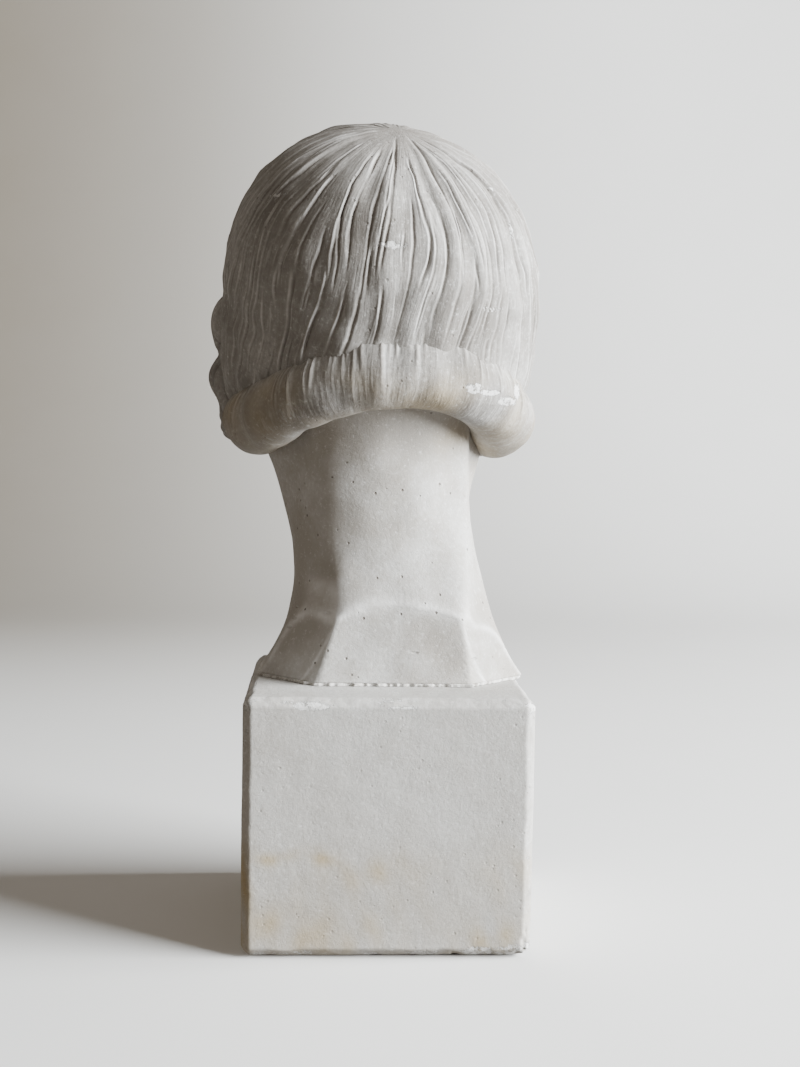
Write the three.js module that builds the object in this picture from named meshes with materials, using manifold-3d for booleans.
// Bust of a youth: a cast head and neck, bedded in plaster on a block plinth and held by a threaded rod.
// Millimetres, +Z up. The face looks along -Y and +X is the bust's own left.
// The origin is the middle of the underside of the felt, which is the surface that the bust stands on.
import * as THREE from "three";
import { ConvexGeometry } from "three/addons/geometries/ConvexGeometry.js";
import { mergeVertices } from "three/addons/utils/BufferGeometryUtils.js";
import Module from "manifold-3d";

const wasm = await Module();
wasm.setup();

// ---------------------------------------------------------------- driving dimensions
const FELT = { side: 136, thickness: 1, corner: 6 };
const PLINTH = { width: 150, height: 134.5, edge: 5 };
const BED = { thickness: 1.6, inset: 1.5 };
const CLEARANCE = 0.3;

const PLINTH_TOP = FELT.thickness + PLINTH.height;
const NECK_FOOT = PLINTH_TOP + BED.thickness;

const ROD = { radius: 5, bottom: 9, top: 226 };
const COUNTERBORE = { radius: 20, ceiling: 25 };
const GROUT = { radius: 12, top: 236 };
const NUT = { acrossFlats: 17, height: 8.4 };
const WASHER = { radius: 15, thickness: 2.5 };

// The head is measured from its centre, at eye level between the temples.
const HEAD = new THREE.Vector3(0, -20, 320);
const TURN = THREE.MathUtils.degToRad(9);
const TURN_FROM = 165;
const TURN_TO = 265;
const HEAD_SHIFT = 5.9;
const FOOT_SHIFT = -3;
const NECK_AXIS_Y = -18;
const NECK_TOP = 300;
const NAPE = { middle: -7.5, half: 37, front: -40, fade: 14 };

// The neck's foot is tooled flat by eight leaning planes. Each has its heading and its lean in degrees,
// and its distance from the plinth's axis at the foot.
const FOOT_PLANES = [
  { heading: 90, distance: 38, lean: 7 },
  { heading: 45, distance: 54, lean: 15 },
  { heading: 135, distance: 59, lean: 9 },
  { heading: 0, distance: 70, lean: 4 },
  { heading: 180, distance: 76, lean: 4 },
  { heading: -45, distance: 76, lean: 8 },
  { heading: -135, distance: 80, lean: 8 },
  { heading: -90, distance: 68, lean: 5 },
];
const FOOT_CUT_HEIGHT = 46;

const GRID = { around: 70, down: 76 };

// ---------------------------------------------------------------- signed distances
// Distance to an ellipsoid, near enough for walking a ray onto its surface.
function ellipsoid(q, [cx, cy, cz], [rx, ry, rz]) {
  const x = q.x - cx;
  const y = q.y - cy;
  const z = q.z - cz;
  const scaled = Math.hypot(x / rx, y / ry, z / rz);
  const slope = Math.hypot(x / rx ** 2, y / ry ** 2, z / rz ** 2);
  return slope < 1e-9 ? -Math.min(rx, ry, rz) : (scaled * (scaled - 1)) / slope;
}

// Distance to a round bar from a to b whose radius runs from ra to rb.
function bar(q, a, b, ra, rb) {
  const ab = [b[0] - a[0], b[1] - a[1], b[2] - a[2]];
  const aq = [q.x - a[0], q.y - a[1], q.z - a[2]];
  const along = (aq[0] * ab[0] + aq[1] * ab[1] + aq[2] * ab[2]) / (ab[0] ** 2 + ab[1] ** 2 + ab[2] ** 2);
  const t = THREE.MathUtils.clamp(along, 0, 1);
  return Math.hypot(aq[0] - ab[0] * t, aq[1] - ab[1] * t, aq[2] - ab[2] * t) - THREE.MathUtils.lerp(ra, rb, t);
}

// A chain of bars through points of [x, y, z, radius].
function chain(q, points) {
  let nearest = Infinity;
  for (let i = 1; i < points.length; i += 1) {
    const [a, b] = [points[i - 1], points[i]];
    nearest = Math.min(nearest, bar(q, a, b, a[3], b[3]));
  }
  return nearest;
}

// Union of two distances with a fillet of about k.
function join(a, b, k) {
  const h = Math.max(k - Math.abs(a - b), 0) / k;
  return Math.min(a, b) - h * h * k * 0.25;
}

// Takes away from a all that is inside b, with a fillet of about k.
const carve = (a, b, k) => -join(-a, b, k);

// ---------------------------------------------------------------- the head's masses, in its own frame
// q.x is always positive, so each mass off the middle is there on both sides.
function faceField(q) {
  let d = ellipsoid(q, [0, 4, 26], [73, 93, 80]); // skull
  d = join(d, ellipsoid(q, [0, -31, -36], [56, 55, 66]), 18); // face
  d = join(d, bar(q, [46, -16, -54], [15, -69, -90], 13, 13.5), 16); // jaw
  d = join(d, ellipsoid(q, [0, -73, -92], [19, 17, 13]), 14); // chin
  d = join(d, ellipsoid(q, [37, -58, -24], [18, 18, 15]), 18); // cheekbone
  d = join(d, ellipsoid(q, [0, -70, -62], [31, 24, 25]), 18); // muzzle
  d = join(d, bar(q, [11, -80, 13], [41, -67, 15], 8, 6.5), 10); // brow
  d = carve(d, ellipsoid(q, [31, -93, -1], [19, 16, 11.5]), 8); // eye socket
  d = join(d, ellipsoid(q, [31, -70, -1], [15, 14.6, 14]), 3); // eye
  d = join(d, bar(q, [0, -82, 12], [0, -101, -35], 7.4, 8), 12); // bridge of the nose
  d = join(d, ellipsoid(q, [0, -102, -39.5], [8.6, 10, 7.6]), 8); // tip of the nose
  d = join(d, ellipsoid(q, [10.5, -93.5, -43], [5.6, 9, 6.2]), 6); // wing of the nose
  d = join(d, bar(q, [0, -93, -63], [23, -84, -67], 4.6, 2.4), 4); // upper lip
  d = join(d, bar(q, [0, -92, -73.5], [20, -85, -69.5], 5.6, 2.8), 4); // lower lip
  return carve(d, ellipsoid(q, [0, -101, -83.5], [18, 8, 4]), 6); // hollow above the chin
}

// The combed hair is a dome, a little higher on the head's left, whose sides hang down and draw in towards
// the nape. It is open at the face.
const DOME = { middle: [0, 6, 28], half: [86, 98, 90], squareness: 2.14, tilt: 0.055, narrowing: 9 };
const FACE_EDGE = { y: 46, lean: 0.5 };
function domeField(q) {
  const height = q.z - DOME.tilt * q.aside;
  const hang = Math.min(height - DOME.middle[2], 0);
  const drawnIn = (NAPE_SLOPE * hang ** 2) / (18 - hang);
  const narrowed = DOME.narrowing * THREE.MathUtils.smoothstep(-q.z, 12, 48);
  const x = (q.x + narrowed) / DOME.half[0];
  const y = Math.abs(q.y - DOME.middle[1] + drawnIn) / DOME.half[1];
  const z = Math.abs(height - hang - DOME.middle[2]) / DOME.half[2];
  const n = DOME.squareness;
  const dome = ((x ** n + y ** n + z ** n) ** (1 / n) - 1) * DOME.half[0];
  const aheadOfEars = q.y + FACE_EDGE.y + FACE_EDGE.lean * q.z;
  return carve(carve(dome, aheadOfEars, 8), rollHeight(q), 10);
}

// The hair is rolled under at the nape, from cheek to cheek, and the roll rises towards the back.
const ROLL = { plan: [68, 73], middleY: 6, side: -44, rise: 24, half: [18, 20], thinning: 0.13, frontY: -28 };
const NAPE_SLOPE = 0.42;

// Height above the roll's middle.
function rollHeight(q) {
  return q.z - ROLL.side - ROLL.rise * Math.max((q.y - ROLL.middleY) / ROLL.plan[1], 0) ** 2;
}

function rollField(q) {
  const [across, back] = [q.x / ROLL.plan[0], (q.y - ROLL.middleY) / ROLL.plan[1]];
  const out = (Math.hypot(across, back) - 1) * ROLL.plan[1];
  const aside = THREE.MathUtils.smoothstep(Math.atan2(across, back), 0.2, 0.8);
  const halfUp = ROLL.half[1] * (1 - ROLL.thinning * aside);
  const tube = (Math.hypot(out / ROLL.half[0], rollHeight(q) / halfUp) - 1) * ROLL.half[0];
  return carve(tube, q.y - ROLL.frontY, 14);
}

// Waves of hair frame the face, from the parting to the front of the roll.
const WAVE = [
  [3, -83, 64, 11],
  [14, -83, 61, 12],
  [34, -79, 50, 14],
  [54, -68, 35, 15],
  [69, -53, 13, 16.5],
  [70, -43, -12, 16],
  [71, -34, -36, 16],
  [67, -28, -50, 12],
];

// A column with a rounded square section, by its middle, half width and half depth.
function column(p, [cx, cy], halfWidth, halfDepth, squareness) {
  const x = Math.abs(p.x - cx) / halfWidth;
  const y = Math.abs(p.y - cy) / halfDepth;
  return ((x ** squareness + y ** squareness) ** (1 / squareness) - 1) * halfDepth;
}

// The neck flares down to its foot, where its section is squarer. Its nape stays flat for a little way up.
function neckField(p) {
  const { smoothstep } = THREE.MathUtils;
  const h = Math.max(p.z - NECK_FOOT, 0);
  const rising = smoothstep(h, 50, 150);
  const halfWidth = 49 + 24.3 * Math.exp(-h / 30);
  const back = 25.5 + 60 * Math.exp(-h / 21) + 11 * rising;
  const front = -62 - 14 * Math.exp(-h / 25) - 10 * rising;
  const middle = FOOT_SHIFT * (1 - smoothstep(h, 40, 90));
  const squareness = 4 - 1.7 * smoothstep(h, 4, 42);
  const flare = column(p, [middle, (back + front) / 2], halfWidth, (back - front) / 2, squareness);
  const flatBack = back - NAPE.fade * smoothstep(h, 44, 100);
  const nape = column(p, [NAPE.middle, (flatBack + NAPE.front) / 2], NAPE.half, (flatBack - NAPE.front) / 2, 8);
  return carve(join(flare, nape, 8), NECK_TOP - p.z, 20);
}

// The whole casting before its head is turned.
function bustField(p) {
  const q = { x: Math.abs(p.x), y: p.y - HEAD.y, z: p.z - HEAD.z, aside: p.x };
  const skin = join(faceField(q), neckField(p), 16);
  const hair = join(join(domeField(q), chain(q, WAVE), 8), rollField(q), 4);
  return join(skin, hair, 5);
}

// ---------------------------------------------------------------- the casting's surface
// Each row of the surface is cast out of a spine that starts at the head's centre and runs down to the foot.
// The rows are closest over the face: share of the rows, elevation in degrees, share of the way down the spine.
const ROWS = [
  { share: 0, elevation: 90, down: 0 },
  { share: 0.16, elevation: 24, down: 0 },
  { share: 0.76, elevation: -58, down: 0 },
  { share: 1, elevation: 0, down: 1 },
];
const FACE_CROWDING = 0.68;

// The ray for a share of the way round the spine, from the face, and a share of the rows.
function rayAt(round, share) {
  const row = Math.max(ROWS.findIndex((mark) => mark.share >= share), 1);
  const [above, below] = [ROWS[row - 1], ROWS[row]];
  const t = (share - above.share) / (below.share - above.share);
  const { degToRad, lerp } = THREE.MathUtils;
  const elevation = degToRad(lerp(above.elevation, below.elevation, t));
  const start = HEAD.clone().lerp(new THREE.Vector3(0, NECK_AXIS_Y, NECK_FOOT), lerp(above.down, below.down, t));
  const heading = 2 * Math.PI * round - FACE_CROWDING * Math.sin(2 * Math.PI * round) - Math.PI / 2;
  const out = new THREE.Vector3(Math.cos(heading), Math.sin(heading), 0).multiplyScalar(Math.cos(elevation));
  return new THREE.Ray(start, out.setZ(Math.sin(elevation)));
}

// Walks in from outside until the field says that the surface is reached, and gives how far out that is.
function reachOf(ray) {
  const point = new THREE.Vector3();
  let distance = 175;
  for (let step = 0; step < 90; step += 1) {
    const gap = bustField(ray.at(distance, point));
    distance -= gap * 0.6;
    if (Math.abs(gap) < 0.01) break;
  }
  return distance;
}

// How far every ray reaches, by row and then round. Those of the head are softened by their four neighbours.
function softenedReaches() {
  const { around, down } = GRID;
  const raw = Array.from({ length: down + 1 }, (_, row) =>
    Array.from({ length: around }, (_, i) => reachOf(rayAt(row === 0 ? 0 : i / around, row / down))),
  );
  return raw.map((line, row) =>
    line.map((own, i) => {
      const beside = line[(i + 1) % around] + line[(i + around - 1) % around];
      const along = raw[Math.max(row - 1, 0)][i] + raw[Math.min(row + 1, down)][i];
      return row / down < ROWS[2].share - 0.03 ? own / 2 + (beside + along) / 8 : own;
    }),
  );
}

// Turns the head about the neck, so that it looks a little to its left, and sets it over.
function posed(point) {
  const share = THREE.MathUtils.smoothstep(point.z, TURN_FROM, TURN_TO);
  const axis = new THREE.Vector3(0, NECK_AXIS_Y, 0);
  point.sub(axis).applyAxisAngle(new THREE.Vector3(0, 0, 1), TURN * share).add(axis);
  point.x += HEAD_SHIFT * share;
  return point;
}

// A sphere's grid of points, each moved to where its ray meets the casting. The last rows close the foot.
function castingGeometry() {
  const geometry = new THREE.SphereGeometry(1, GRID.around, GRID.down + 1);
  const { position, uv } = geometry.attributes;
  const reaches = softenedReaches();
  for (let i = 0; i < position.count; i += 1) {
    const row = Math.round((1 - uv.getY(i)) * (GRID.down + 1));
    const column = Math.round(uv.getX(i) * GRID.around) % GRID.around;
    const point = new THREE.Vector3(0, NECK_AXIS_Y, NECK_FOOT);
    if (row <= GRID.down) {
      const ray = rayAt(row === 0 ? 0 : column / GRID.around, row / GRID.down);
      posed(ray.at(reaches[row][row === 0 ? 0 : column], point));
    }
    position.setXYZ(i, point.x, point.y, point.z);
  }
  return geometry;
}

// ---------------------------------------------------------------- solids and shapes
// A closed three.js geometry as a solid that can be joined and cut.
function solid(geometry) {
  const bare = geometry.clone();
  bare.deleteAttribute("normal");
  bare.deleteAttribute("uv");
  const merged = mergeVertices(bare, 1e-4);
  const vertProperties = new Float32Array(merged.attributes.position.array);
  return new wasm.Manifold(new wasm.Mesh({ numProp: 3, vertProperties, triVerts: new Uint32Array(merged.index.array) }));
}

function geometryOf(manifold) {
  const { vertProperties, triVerts } = manifold.getMesh();
  const geometry = new THREE.BufferGeometry();
  geometry.setAttribute("position", new THREE.BufferAttribute(vertProperties, 3));
  geometry.setIndex(new THREE.BufferAttribute(triVerts, 1));
  geometry.computeVertexNormals();
  return geometry;
}

// A square outline with rounded corners.
function roundedSquare(side, corner) {
  const reach = side / 2 - corner;
  const shape = new THREE.Shape();
  [
    [reach, reach],
    [-reach, reach],
    [-reach, -reach],
    [reach, -reach],
  ].forEach(([x, y], i) => shape.absarc(x, y, corner, (i * Math.PI) / 2, ((i + 1) * Math.PI) / 2, false));
  return shape;
}

// A round bar along Z, made by turning its outline.
function turnedBar(outline, segments = 32) {
  const points = outline.map(([r, z]) => new THREE.Vector2(r, z));
  return new THREE.LatheGeometry(points, segments).rotateX(Math.PI / 2);
}

function cylinderSolid(radius, bottom, top) {
  return solid(new THREE.CylinderGeometry(radius, radius, top - bottom, 40).rotateX(Math.PI / 2).translate(0, 0, (bottom + top) / 2));
}

// The outline of the neck's foot, where neighbouring planes meet, drawn in by an inset.
function footOutline(inset) {
  const planes = [...FOOT_PLANES].sort((a, b) => a.heading - b.heading);
  return planes.map((plane, i) => {
    const next = planes[(i + 1) % planes.length];
    const [a, b] = [plane, next].map(({ heading }) => THREE.MathUtils.degToRad(heading));
    const [p, q] = [plane.distance - inset, next.distance - inset];
    const det = Math.sin(b - a);
    return new THREE.Vector2((p * Math.sin(b) - q * Math.sin(a)) / det, (q * Math.cos(a) - p * Math.cos(b)) / det);
  });
}

// The block that is cut away outside one plane of the foot.
function footCutter({ heading, distance, lean }) {
  const [angle, slope] = [heading, lean].map(THREE.MathUtils.degToRad);
  const [below, halfWidth, reach] = [10, 110, 60];
  const corners = [];
  for (const across of [-halfWidth, halfWidth]) {
    for (const height of [-below, FOOT_CUT_HEIGHT]) {
      for (const out of [0, reach]) {
        const away = distance - height * Math.tan(slope) + out;
        corners.push(new THREE.Vector3(away, across, NECK_FOOT + height).applyAxisAngle(new THREE.Vector3(0, 0, 1), angle));
      }
    }
  }
  return solid(new ConvexGeometry(corners));
}

// ---------------------------------------------------------------- materials
const plaster = () => new THREE.MeshStandardMaterial({ color: 0xcfcbc4, roughness: 0.78, metalness: 0 });
const freshPlaster = () => new THREE.MeshStandardMaterial({ color: 0xe2dfd9, roughness: 0.9, metalness: 0 });
const steel = () => new THREE.MeshStandardMaterial({ color: 0x9a9b9c, roughness: 0.35, metalness: 1 });
const felt = () => new THREE.MeshStandardMaterial({ color: 0x2c2720, roughness: 0.95, metalness: 0 });

// ---------------------------------------------------------------- the pieces
function part(name, geometry, material) {
  const mesh = new THREE.Mesh(geometry, material);
  mesh.name = name;
  return mesh;
}

function headAndNeck() {
  let casting = solid(castingGeometry());
  for (const plane of FOOT_PLANES) casting = casting.subtract(footCutter(plane));
  const socket = cylinderSolid(GROUT.radius + CLEARANCE, NECK_FOOT - 5, GROUT.top + CLEARANCE);
  return part("head_and_neck", geometryOf(casting.subtract(socket)), plaster());
}

function plinth() {
  const { width, height, edge } = PLINTH;
  const block = new THREE.ExtrudeGeometry(roundedSquare(width - 2 * edge, 0.6), {
    depth: height - 2 * edge,
    bevelSize: edge,
    bevelThickness: edge,
    bevelSegments: 3,
    curveSegments: 1,
  }).translate(0, 0, FELT.thickness + edge);
  const bore = cylinderSolid(ROD.radius + 1, -1, PLINTH_TOP + 1);
  const recess = cylinderSolid(COUNTERBORE.radius, -1, COUNTERBORE.ceiling);
  return part("plinth", geometryOf(solid(block).subtract(bore).subtract(recess)), plaster());
}

function beddingPlaster() {
  const outline = new THREE.Shape(footOutline(BED.inset));
  outline.holes.push(new THREE.Path().absarc(0, 0, ROD.radius + 1, 0, 2 * Math.PI, true));
  const bed = new THREE.ExtrudeGeometry(outline, { depth: BED.thickness, bevelEnabled: false, curveSegments: 20 });
  return part("bedding_plaster", bed.translate(0, 0, PLINTH_TOP), freshPlaster());
}

function mountingRod() {
  const { radius, bottom, top } = ROD;
  const outline = [
    [0, bottom],
    [radius - 1, bottom],
    [radius, bottom + 1],
    [radius, top - 1],
    [radius - 1, top],
    [0, top],
  ];
  return part("mounting_rod", turnedBar(outline), steel());
}

function nut(name, bottom) {
  const corner = NUT.acrossFlats / Math.sqrt(3);
  const hexagon = new THREE.Shape(
    Array.from({ length: 6 }, (_, i) => new THREE.Vector2(corner, 0).rotateAround(new THREE.Vector2(), (i * Math.PI) / 3)),
  );
  hexagon.holes.push(new THREE.Path().absarc(0, 0, ROD.radius + CLEARANCE, 0, 2 * Math.PI, true));
  const body = new THREE.ExtrudeGeometry(hexagon, { depth: NUT.height, bevelEnabled: false, curveSegments: 16 });
  return part(name, body.translate(0, 0, bottom), steel());
}

function clampWasher() {
  const top = COUNTERBORE.ceiling - CLEARANCE;
  const [inner, outer, bottom] = [ROD.radius + CLEARANCE, WASHER.radius, top - WASHER.thickness];
  const ring = [
    [inner, bottom],
    [outer, bottom],
    [outer, top],
    [inner, top],
    [inner, bottom],
  ];
  return part("clamp_washer", turnedBar(ring), steel());
}

// The grout fills the socket in the neck round the rod, and keys round the nut at the rod's end.
function rodGrout() {
  const [bore, pocket] = [ROD.radius + CLEARANCE, NUT.acrossFlats / Math.sqrt(3) + CLEARANCE];
  const foot = NECK_FOOT + CLEARANCE;
  const pocketBottom = ROD.top - NUT.height - 2 * CLEARANCE;
  const pocketTop = ROD.top + 2 * CLEARANCE;
  const outline = [
    [bore, foot],
    [GROUT.radius, foot],
    [GROUT.radius, GROUT.top],
    [0, GROUT.top],
    [0, pocketTop],
    [pocket, pocketTop],
    [pocket, pocketBottom],
    [bore, pocketBottom],
    [bore, foot],
  ];
  return part("rod_grout", turnedBar(outline), freshPlaster());
}

function feltBase() {
  const sheet = new THREE.ExtrudeGeometry(roundedSquare(FELT.side, FELT.corner), {
    depth: FELT.thickness,
    bevelEnabled: false,
    curveSegments: 4,
  });
  return part("felt_base", sheet, felt());
}

const bust = new THREE.Group();
bust.add(
  headAndNeck(),
  plinth(),
  beddingPlaster(),
  mountingRod(),
  nut("anchor_nut", ROD.top - NUT.height - CLEARANCE),
  rodGrout(),
  clampWasher(),
  nut("clamp_nut", COUNTERBORE.ceiling - 2 * CLEARANCE - WASHER.thickness - NUT.height),
  feltBase(),
);
export default bust;
